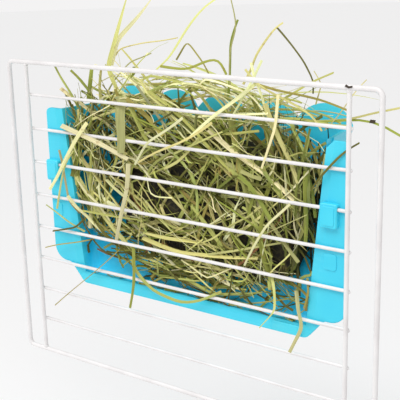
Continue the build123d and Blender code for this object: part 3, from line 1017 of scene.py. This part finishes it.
@dataclass
class Hay:
    """Loose timothy hay: packed in the hopper, heaped above its rim, and reaching out between the bars."""

    hopper: Hopper
    grass: DriedGrass = DriedGrass()
    # The dark mass deep in the bed is painted shade.
    painted_shade_mass: PaintedShadeGrass = PaintedShadeGrass()
    lie: Lie = Lie()
    fringe_count: int = 90
    heap_count: int = 150
    chaff_count: int = 60
    painted_light_lift: float = 1.13         # painted light: how much paler the hay above the rim is drawn, for the bright light that washes it out
    stations: int = 9
    seed: int = 7
    # The hay's lower edge in the mouth, from left to right, in millimetres from the hopper's middle.
    lower_edge: tuple[tuple[float, float], ...] = (
        (-104, -94), (-92, -120), (-60, -127), (-34, -142), (10, -146), (54, -142), (88, -134), (98, -128),
    )
    left_edge: float = -106.0
    right_edge: float = 100.0
    loose_below_rim: float = 16.0   # the top of the bed is a loose tangle this deep
    core_inset: float = 9.0         # of the dark mass of painted shade, in from the hay's edge in the mouth
    core_left: float = -64.0        # left of it the hay is thin enough to see the back wall
    core_right: float = 84.0
    core_cover: float = 7.0         # of strands in front of it
    core_waves: tuple[float, ...] = (34.0, 27.0, 21.0, 15.0, 11.0, 8.0)     # the lengths of its lumps
    core_lump: float = 0.045        # a lump's height over its length
    painted_depth_shade: float = 0.72           # painted shade on strands far behind the bars and below the rim, where less light reaches
    dim_depth: tuple[float, float] = (3.0, 12.0)        # where that begins and is full, behind the bars
    dim_cover: tuple[float, float] = (8.0, 24.0)        # and below the rim
    painted_corner_shade: float = 0.42    # painted shade on strands in the right-hand corner
    corner_span: tuple[float, float] = (62.0, 96.0)     # where that begins and is full, from the middle

    def core_outline(self, around: int) -> Array:
        """The outline in the mouth of the dark mass that paints the shade deep in the hay.

        It follows the hay's lower edge, drawn in by the inset, and a crown just below the loose tangle.

        Args:
            around: How many points it has.

        Returns:
            Across and up, from the hopper's middle, (around, 2).
        """
        top = self.hopper.rim_z - self.loose_below_rim
        foot = np.array(self.lower_edge, float)
        foot[:, 0] = np.clip(foot[:, 0], self.core_left, self.core_right)
        foot[:, 1] = np.minimum(foot[:, 1] + self.core_inset, top)
        crown = np.array([(self.core_right, -6.0), (40.0, 1.0), (-20.0, 0.0), (self.core_left, -8.0)])
        corners = np.concatenate([foot, crown + np.array([0.0, top]), foot[:1]])
        return spread(corners, np.linspace(0, 1, around, endpoint=False))[0]

    def core(self, rng: Random) -> bpy.types.Object:
        """A dark mass inside the bed, a closed and lumpy cushion, that paints the shade deep in the hay.

        From the front pole to the back pole its outline shrinks as the sixth root of the cosine of an angle,
        and depth follows that angle's sine from behind the front strands to just before the back wall. Waves
        in random directions lift it.

        Args:
            rng: Source of the waves.

        Returns:
            The object.
        """
        hopper, around, rings = self.hopper, 120, 30
        outline = self.core_outline(around)
        centre = outline.mean(axis=0)
        angle = np.linspace(-0.499 * np.pi, 0.499 * np.pi, rings)[:, None]
        size = np.cos(angle) ** (1 / 6)
        x = centre[0] + size * (outline[:, 0] - centre[0])
        z = centre[1] + size * (outline[:, 1] - centre[1])
        near = hopper.front_y + self.core_cover
        far = np.maximum(hopper.back(z) - 1.5, near + 1)
        y = (near + far) / 2 + (far - near) / 2 * np.sin(angle)
        points = np.stack([x, y, z], axis=-1)
        waves = np.zeros(points.shape)
        for length in self.core_waves:
            way = unit(rng.standard_normal(3))
            lift = np.sin(2 * np.pi * (points @ way) / length + rng.uniform(0, 2 * np.pi))
            waves += lift[..., None] * unit(rng.standard_normal(3)) * length * self.core_lump
        points = points + waves + np.array([hopper.middle(), 0.0, 0.0])
        points = hopper.press_inside(points, np.full(rings, 1.0), np.zeros(rings))
        made = mesh_object("painted_shade_core", points.reshape(-1, 3), closed_skin(rings, around, clockwise=True))
        made.data.shade_smooth()
        return made

    def lower_limit(self, x: Array) -> Array:
        """The height of the hay's lower edge at x, from the hopper's middle."""
        across, height = np.array(self.lower_edge, float).T
        return np.interp(x, across, height)

    def keeps_clear(self, path: Array, gaps: tuple[Triple, ...]) -> Array:
        """Tell which strands stay out of the places where the hay parts.

        Each point is carried along its sight line to the mouth's plane, and there the distance from a gap's
        middle to each piece of the strand is compared with the gap's radius.

        Args:
            path: Centrelines, (N, S, 3).
            gaps: Across, up and radius of each gap.

        Returns:
            True for each strand that keeps clear, (N,).
        """
        eye, spots = np.array(EYE), np.array(gaps, float)
        share = (self.hopper.front_y - eye[1]) / (path[..., 1:2] - eye[1])
        seen = eye[[0, 2]] + (path[..., [0, 2]] - eye[[0, 2]]) * share
        start, run = seen[:, :-1, None], np.diff(seen, axis=1)[:, :, None]
        middle, radius = spots[:, :2], spots[:, 2]
        along = ((middle - start) * run).sum(-1) / np.maximum((run**2).sum(-1), 1e-9)
        nearest = start + run * np.clip(along, 0, 1)[..., None]
        return (np.linalg.norm(nearest - middle, axis=-1) > radius).all(axis=(1, 2))

    def slopes(self, rng: Random, x: Array, z: Array) -> Array:
        """Draw which way strands run in the mouth's plane.

        Args:
            rng: Source of the ways.
            x: Where each strand lies across, (N,).
            z: How high it lies, (N,).

        Returns:
            Angles in radians up from +X, (N,).
        """
        hopper = self.hopper
        across = np.clip((x - hopper.middle()) / hopper.mouth_half, -1, 1)
        return self.lie.angles(rng, across, eased(z, hopper.floor_z, hopper.rim_z))

    def runs(self, rng: Random, centre: Array, slope: Array, length: Array, bow: float) -> Array:
        """Centrelines: a straight run, plus a bow, plus a kink past one point, plus a slow waver.

        Args:
            rng: Source of the bows and kinks.
            centre: Each strand's middle, (N, 3).
            slope: Its direction in the mouth's plane, (N,).
            length: Its length, (N,).
            bow: The bow's usual height as a share of the length.

        Returns:
            Places along each strand, (N, S, 3).
        """
        count = len(centre)
        each = (count, 1, 1)
        share = np.linspace(0, 1, self.stations)[None, :, None]
        dip = np.radians(9 * rng.standard_normal(count))
        ahead = np.stack([np.cos(slope) * np.cos(dip), np.sin(dip), np.sin(slope) * np.cos(dip)], axis=-1)
        aside = unit(np.cross(ahead, rng.standard_normal((count, 3))))
        size = length[:, None, None]
        bent = aside[:, None] * size * bow * rng.standard_normal(each) * 4 * share * (1 - share)
        turn_at = rng.uniform(0.25, 0.75, each)
        sharp = np.where(rng.random(each) < 0.4, rng.normal(0, 0.45, each), 0.0)
        kinked = unit(np.cross(ahead, aside))[:, None] * size * sharp * np.maximum(share - turn_at, 0)
        phase = rng.uniform(0, 2 * np.pi, each)
        waver = aside[:, None] * 0.9 * np.sin(phase + 9 * share)
        return centre[:, None] + ahead[:, None] * size * (share - 0.5) + bent + kinked + waver

    def widths(self, kind: Kind, widest: Array, stations: int) -> Array:
        """Width along each strand: a blade swells and runs out to a tip, and a stem keeps its width.

        Args:
            kind: How the strands are shaped.
            widest: Their greatest widths, (N,).
            stations: How many stations they have.

        Returns:
            Widths, (N, stations).
        """
        share = np.linspace(0, 1, self.stations)
        if kind is Kind.BLADE:
            profile = 0.55 + 0.45 * np.sin(np.pi / 2 * np.minimum(share / 0.35, 1))
            profile = profile * (1 - 0.93 * eased(share, 0.4, 1.0) ** 1.5)
        elif kind is Kind.TORN_BLADE:
            profile = 1 - 0.36 * share + 0.03 * np.sin(17 * share)
        else:
            profile = 1 - 0.22 * share + 0.05 * np.sin(13 * share)
        return widest[:, None] * np.interp(np.linspace(0, 1, stations), share, profile)

    def dressed(
        self, rng: Random, kind: Kind, path: Array, widest: Array, tints: list[Tint],
        shade: Array, facing: Triple = (0.0, -1.0, 0.25), turn: float = 1.0,
    ) -> Strands:
        """Strands of one kind along given paths.

        Args:
            rng: Source of how each one is turned.
            kind: How they are shaped.
            path: Their centrelines, (N, S, 3).
            widest: Their greatest widths, (N,).
            tints: The tint of each.
            shade: What each tint is multiplied by, (N,).
            facing: The way that flat sides mostly look.
            turn: How freely they turn from it.

        Returns:
            The strands.
        """
        count, stations = path.shape[:2]
        looks = unit(np.array(facing) + 0.45 * turn * rng.standard_normal((count, 3)))
        share = np.linspace(0, 1, stations)[None, :]
        twist = rng.normal(0, 0.7 if kind is Kind.BLADE else 0.35, (count, 1))
        roll = turn * (rng.normal(0, 0.35, (count, 1)) + twist * (share - 0.5))
        base = np.array([linear(tint.value)[:3] for tint in tints])
        brightness, hue = rng.uniform(0.86, 1.12, (count, 1)), rng.uniform(0.95, 1.05, (count, 3))
        colour = base * shade[:, None] * brightness * hue
        return Strands(kind, path, looks, self.widths(kind, widest, stations), roll, colour)

    def pick(self, rng: Random, count: int, weights: dict[Tint, float]) -> list[Tint]:
        """Draw a tint for each strand."""
        tints, chances = list(weights), np.array(list(weights.values()))
        return [tints[index] for index in rng.choice(len(tints), count, p=chances / chances.sum())]

    def mixed(
        self, rng: Random, path: Array, widest: Array, tints: list[Tint], shade: Array
    ) -> list[Strands]:
        """Shape strands as blades, crushed stems and round stems, by chance.

        Args:
            rng: Source of the kinds.
            path: Centrelines, (N, S, 3).
            widest: Their greatest widths, (N,). A round stem gets half.
            tints: The tint of each.
            shade: What each tint is multiplied by, (N,).

        Returns:
            The strands, by kind.
        """
        chances = {Kind.BLADE: 0.42, Kind.CRUSHED_STEM: 0.42, Kind.ROUND_STEM: 0.16}
        kinds = rng.choice(list(chances), len(path), p=list(chances.values()))
        groups = []
        for kind in chances:
            mine = np.array([drawn is kind for drawn in kinds])
            slim = 0.5 if kind is Kind.ROUND_STEM else 1.0
            own = [tint for tint, member in zip(tints, mine) if member]
            if own:
                groups.append(self.dressed(rng, kind, path[mine], widest[mine] * slim, own, shade[mine]))
        return groups

    def shades(self, path: Array) -> Array:
        """Paint shade on the strands of the bed that lie at the back and in the right-hand corner, by
        darkening their tints.

        Args:
            path: Their centrelines, (N, S, 3).

        Returns:
            What each one's tint is multiplied by, (N,).
        """
        hopper = self.hopper
        x, y, z = path.mean(axis=1).T
        behind = eased(y - hopper.front_y, *self.dim_depth) * eased(hopper.rim_z - z, *self.dim_cover)
        cornered = eased(x - hopper.middle(), *self.corner_span)
        return (1 - self.painted_depth_shade * behind) * (1 - self.painted_corner_shade * cornered)

    def strew(self, rng: Random, layer: Layer) -> list[Strands]:
        """Strew the strands of one layer of the bed.

        More are drawn than are needed, and those that leave the bed or close a gap are dropped.

        Args:
            rng: Source of every draw.
            layer: The layer.

        Returns:
            The strands, by kind.
        """
        hopper, tries = self.hopper, layer.count * 12
        x = rng.uniform(*layer.span, tries) + hopper.middle()
        z = rng.uniform(layer.lowest, hopper.rim_z + 2, tries)
        y = hopper.front_y + rng.uniform(*layer.depth, tries)
        length = layer.lengths[0] + layer.lengths[1] * rng.gamma(4.0, 0.25, tries)
        path = self.runs(rng, np.stack([x, y, z], axis=-1), self.slopes(rng, x, z), length, layer.bow)
        across, up = path[..., 0] - hopper.middle(), path[..., 2]
        # A strand may leave the bed nowhere at its foot, at one station at its sides or crown, and at two
        # stations at the back wall.
        low = up < self.lower_limit(across) - 3
        wide = (across < self.left_edge) | (across > self.right_edge) | (up > hopper.rim_z + 14)
        deep = path[..., 1] > hopper.back(up) + 2
        kept = (low.sum(1) == 0) & (wide.sum(1) <= 1) & (deep.sum(1) <= 2)
        kept &= (z <= hopper.rim_z - self.loose_below_rim) | (rng.random(tries) < layer.loose)
        kept &= self.keeps_clear(path, layer.gaps)
        path = path[kept][:layer.count]
        count = len(path)
        gap = rng.uniform(0.9, 3.2, count)
        bulge = np.where(rng.random(count) < 0.3, rng.uniform(0, layer.swell, count), 0.0)
        path = hopper.press_inside(path, gap, bulge)
        tints = self.pick(rng, count, layer.tints)
        widest = rng.uniform(*layer.widths, count) * rng.choice([0.6, 1.0, 1.0, 1.35], count)
        return self.mixed(rng, path, widest, tints, self.shades(path))

    def bed(self, rng: Random) -> list[Strands]:
        """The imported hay: front strands, curls, the left end, the middle, the tangle and the right end.

        Args:
            rng: Source of every draw.

        Returns:
            The strands, by group.
        """
        floor, tangle = self.hopper.floor_z, self.hopper.rim_z - 1.6 * self.loose_below_rim
        layers = (
            Layer(250, (0.5, 6), (0.9, 2.6), BRIGHT, floor, loose=0.6, swell=4.0),
            Layer(230, (0.5, 6), (0.7, 1.9), BRIGHT, floor, loose=0.5, swell=4.0, lengths=(9, 16), bow=0.22),
            Layer(60, (0.5, 9), (0.9, 2.4), BRIGHT, floor, loose=0.8, swell=2.0, span=(-106.0, -80.0)),
            Layer(400, (6, 13), (1.0, 3.0), DULL, floor, loose=0.4),
            Layer(125, (10, 42), (0.9, 2.6), BRIGHT, tangle, loose=0.5, gaps=OPEN_GAPS),
        )
        # The right-hand corner's strands take only dark olive and green tints: real strands, darkened as
        # painted shade for the corner.
        corner = Layer(
            34, (5, 20), (1.2, 3.0), {Tint.OLIVE: 3, Tint.GREEN: 2}, floor, loose=0.8, gaps=OPEN_GAPS,
            span=(84.0, 101.0),
        )
        groups = [group for layer in layers for group in self.strew(rng, layer)]
        return groups + self.fringe(rng) + self.strew(rng, corner)

    def fringe(self, rng: Random) -> list[Strands]:
        """Thin curled stems that hang out of the bed's lower edge, in front of the bare plastic.

        Args:
            rng: Source of every draw.

        Returns:
            The strands, by group.
        """
        hopper, count = self.hopper, self.fringe_count
        tints = {Tint.KHAKI: 1, Tint.OLIVE: 3, Tint.GREEN: 2.6, Tint.PALE_GREEN: 1.8, Tint.RUST: 0.15}
        x = rng.uniform(-98, 96, count)
        z = self.lower_limit(x) + rng.normal(1.0, 5.0, count)
        y = hopper.front_y + rng.uniform(0.5, 8, count)
        centre = np.stack([x + hopper.middle(), y, z], axis=-1)
        # Those at the left fall to the right, and the others lie nearly level.
        slope = np.radians(rng.normal(np.where(x < -50, -25, 4), 32))
        path = self.runs(rng, centre, slope, rng.uniform(18, 62, count), 0.13)
        path = hopper.press_inside(path, rng.uniform(0.7, 2.0, count), rng.uniform(0, 2.5, count))
        drawn = self.pick(rng, count, tints)
        widest = rng.uniform(0.7, 2.1, count)
        return [self.dressed(rng, Kind.CRUSHED_STEM, path, widest, drawn, np.full(count, 0.8))]

    def heap(self, rng: Random) -> list[Strands]:
        """The loose tangle heaped above the rim: long low arches, mostly level.

        Args:
            rng: Source of every draw.

        Returns:
            The strands, by group.
        """
        hopper, tries = self.hopper, self.heap_count * 6
        tints = {Tint.CREAM: 4.6, Tint.STRAW: 3.4, Tint.PALE_GREEN: 2.6, Tint.GREEN: 0.7, Tint.BUFF: 1}
        # Their middles lie from just below the rim to a little above it, and most of them on the left.
        x, y = rng.triangular(-76, -30, 92, tries), rng.uniform(8, 42, tries)
        z = -36 + 21 * rng.random(tries) ** 1.3
        slope = np.radians(rng.normal(-3, 20, tries))
        length = rng.uniform(32, 105, tries)
        path = self.runs(rng, np.stack([x, y, z], axis=-1), slope, length, 0.06)
        share = np.linspace(0, 1, self.stations)[None, :]
        path[..., 2] += rng.uniform(0, 10, (tries, 1)) * 4 * share * (1 - share)
        path = hopper.press_inside(path, rng.uniform(1.2, 3, tries), np.zeros(tries))
        path = path[self.keeps_clear(path, OPEN_GAPS)][:self.heap_count]
        count = len(path)
        drawn = self.pick(rng, count, tints)
        # The heap's strands are drawn paler: painted light.
        return self.mixed(rng, path, rng.uniform(0.7, 2.0, count), drawn, np.full(count, self.painted_light_lift))

    def drawn(self, rng: Random, strands: tuple[Stem, ...], shade: float = 1.0) -> list[Strands]:
        """Strands along listed points, with their corners softened.

        The points are joined by straight runs, stations are spread evenly along them, and each inner station
        moves twice towards the mean of its neighbours.

        Args:
            rng: Source of their small bends.
            strands: The strands.
            shade: What their tints are multiplied by.

        Returns:
            The strands, each a group of its own.
        """
        groups = []
        share = np.linspace(0, 1, 2 * self.stations)
        for strand in strands:
            path, length = spread(np.array(strand.points, float), share)
            for _ in range(2):
                path[1:-1] = 0.5 * path[1:-1] + 0.25 * (path[:-2] + path[2:])
            aside = unit(np.cross(path[-1] - path[0], rng.standard_normal(3)))
            path += aside * (0.012 * length * np.sin(np.pi * share * 2))[:, None]
            # The flat side looks at the eye and a little upwards, where the light is.
            facing = tuple(unit(np.array(EYE) - path.mean(axis=0)) + np.array([0.0, 0.0, 0.55]))
            width, tone = np.array([strand.width]), np.array([shade])
            groups.append(self.dressed(rng, strand.kind, path[None], width, [strand.tint], tone, facing, 0.3))
        return groups

    def chaff(self, rng: Random) -> list[Strands]:
        """Broken bits of leaf that lie on the hopper's floor.

        Args:
            rng: Source of every draw.

        Returns:
            The strands, by group.
        """
        hopper, count = self.hopper, self.chaff_count
        x = rng.uniform(-88, 92, count) + hopper.middle()
        y = hopper.front_y + rng.uniform(1.5, 7, count)
        centre = np.stack([x, y, np.full(count, hopper.floor_z + 0.7)], axis=-1)
        heading = rng.uniform(0, np.pi, count)
        ahead = np.stack([np.cos(heading), 0.5 * np.sin(heading), np.full(count, 0.05)], axis=-1)
        share = np.linspace(-0.5, 0.5, self.stations)[None, :, None]
        path = centre[:, None] + ahead[:, None] * share * rng.uniform(3, 11, (count, 1, 1))
        path[..., 1] = np.clip(path[..., 1], hopper.front_y + 0.8, hopper.front_y + 7.5)
        tints = self.pick(rng, count, {Tint.STRAW: 2, Tint.GREEN: 2, Tint.OLIVE: 1, Tint.RUST: 1})
        widest = rng.uniform(0.5, 1.4, count)
        bits = self.dressed(rng, Kind.CRUSHED_STEM, path, widest, tints, np.full(count, 0.9))
        bits.facing = np.broadcast_to(np.array([0.05, 0.1, 1.0]), (count, 3))
        bits.roll = bits.roll * 0.3
        return [bits]

    def build(self) -> None:
        """Make each part of the hay, in place of the plain solids."""
        # The dark core paints the shade deep in the hay, between the strands.
        core = self.core(np.random.default_rng(self.seed))
        dress(core, self.painted_shade_mass.build())
        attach(core, BODY)
        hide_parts("hay_bed")
        report(core)
        grass = self.grass.build()
        parts = (
            ("packed_hay", self.bed, "hay_bed", "hay"),
            ("heaped_hay", self.heap, "hay_heap", "hay"),
            # The tall stems are drawn paler too: painted light.
            ("tall_stems", lambda rng: self.drawn(rng, TALL, self.painted_light_lift), "hay_top_stalks", "hay_stalks"),
            ("reaching_stems", lambda rng: self.drawn(rng, REACHING), "hay_front_stalks", "hay_stalks"),
            ("hay_chaff", self.chaff, None, "hay"),
        )
        for number, (name, maker, node, slot) in enumerate(parts):
            rng = np.random.default_rng(self.seed * 100 + number)
            piece = strand_object(name, maker(rng), rng)
            dress(piece, grass)
            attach(piece, BODY)
            if node:
                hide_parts(node)
            report(piece)


# --- Studio ---------------------------------------------------------------------------------------------
def stand(name: str, data: bpy.types.ID) -> bpy.types.Object:
    """Put a camera or a lamp into the scene.

    Args:
        name: Its name.
        data: The camera or the lamp.

    Returns:
        Its object.
    """
    made = bpy.data.objects.new(name, data)
    bpy.context.scene.collection.objects.link(made)
    return made


def turned_along(way: Vector) -> Euler:
    """The turn that makes a lamp shine along a way."""
    return way.to_track_quat("-Z", "Y").to_euler()


@dataclass(frozen=True)
class SoftLight:
    """A square area light that faces the hopper. Its place, target and side are in metres."""

    name: str
    place: Triple
    size: float
    power: float                    # in watts
    tone: str
    target: Triple = (0.0, 0.02, -0.09)

    def build(self) -> None:
        """Put it in its place."""
        lamp = bpy.data.lights.new(self.name, "AREA")
        lamp.size, lamp.energy, lamp.color = self.size, self.power, linear(self.tone)[:3]
        light = stand(self.name, lamp)
        light.location = self.place
        light.rotation_euler = turned_along(Vector(self.target) - Vector(self.place))


@dataclass
class Studio:
    """A plain pale floor, soft lights and the camera."""

    lens: float = 85.9
    sensor: float = 36.0
    camera_right: Triple = (0.8089, 0.5874, -0.0254)
    camera_up: Triple = (-0.1383, 0.2320, 0.9628)
    lights: tuple[SoftLight, ...] = (
        SoftLight("key", (0.30, -0.42, 0.42), 0.25, 1.2, "#FFFDFA"),
        SoftLight("side_fill", (-0.5, -0.45, 0.0), 0.5, 0.35, "#FFFFFF"),
    )
    daylight: float = 1.57          # of the broad overhead bank, in watts per square metre
    bank_way: Triple = (0.2, 0.5, -1.0)     # the way that the bank shines
    bank_angle: float = 50.0        # and how wide it looks, in degrees
    surround: str = "#F4F3F3"       # the bright cyclorama, as it is seen
    fill: float = 0.52              # the share of its brightness that falls on the rack
    card: str = "#FCFCFC"           # the floor's colour
    card_roughness: float = 0.9
    floor_drop: float = 160.0       # the floor, below the hanging rack's lowest point
    floor_reach: float = 6000.0
    floor_corners: int = 64

    def camera(self) -> None:
        """Place the camera."""
        seen = stand("camera", bpy.data.cameras.new("camera"))
        seen.data.lens, seen.data.sensor_width = self.lens, self.sensor
        seen.data.clip_start = 0.01
        right = Vector(self.camera_right).normalized()
        back = right.cross(Vector(self.camera_up)).normalized()
        turn = Matrix((right, back.cross(right), back)).transposed().to_4x4()
        seen.matrix_world = Matrix.Translation(Vector(EYE) * MM) @ turn
        bpy.context.scene.camera = seen

    def overhead_bank(self) -> None:
        """Hang a broad bank of lights overhead, a little in front: it lights the floor evenly."""
        lamp = bpy.data.lights.new("overhead_bank", "SUN")
        lamp.energy, lamp.angle = self.daylight, math.radians(self.bank_angle)
        stand("overhead_bank", lamp).rotation_euler = turned_along(Vector(self.bank_way))

    def cyclorama(self) -> None:
        """Surround the scene with an even pale sweep that is seen brighter than it lights."""
        world = bpy.data.worlds.new("pale_sweep")
        world.use_nodes = True
        tree = world.node_tree
        seen = add_node(tree, "LightPath").outputs["Is Camera Ray"]
        strength = add_node(tree, "MapRange", {"Value": seen, "To Min": self.fill, "To Max": 1.0})
        feed(tree, tree.nodes["Background"], {
            "Color": linear(self.surround), "Strength": strength.outputs["Result"],
        })
        bpy.context.scene.world = world

    def floor(self) -> None:
        """Lay the floor, a wide pale disc."""
        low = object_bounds()[0][2] / MM - self.floor_drop
        angle = np.linspace(0, 2 * np.pi, self.floor_corners, endpoint=False)
        rim = self.floor_reach * np.stack([np.cos(angle), np.sin(angle), 0 * angle], axis=-1)
        points = np.concatenate([np.zeros((1, 3)), rim]) + np.array([0.0, 0.0, low])
        number = np.arange(1, self.floor_corners + 1)
        ground = mesh_object("floor", points, np.stack([number * 0, number, np.roll(number, -1)], axis=-1))
        card = {"Base Color": linear(self.card), "Roughness": self.card_roughness}
        dress(ground, Shading("pale_card").finish(card))
        ground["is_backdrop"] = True

    def build(self) -> None:
        """Set up everything that isn't the object."""
        self.camera()
        self.floor()
        for light in self.lights:
            light.build()
        self.overhead_bank()
        self.cyclorama()
        bpy.context.scene.view_settings.view_transform = "Standard"


def main() -> None:
    """Build every part around the frame, and the studio."""
    logging.basicConfig(level=logging.INFO, format="%(name)s %(message)s")
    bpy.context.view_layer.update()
    hopper = Hopper()
    WireFront().build()
    hopper.build()
    Buckles().build()
    Hay(hopper).build()
    Studio().build()


if __name__ == "__main__":
    main()
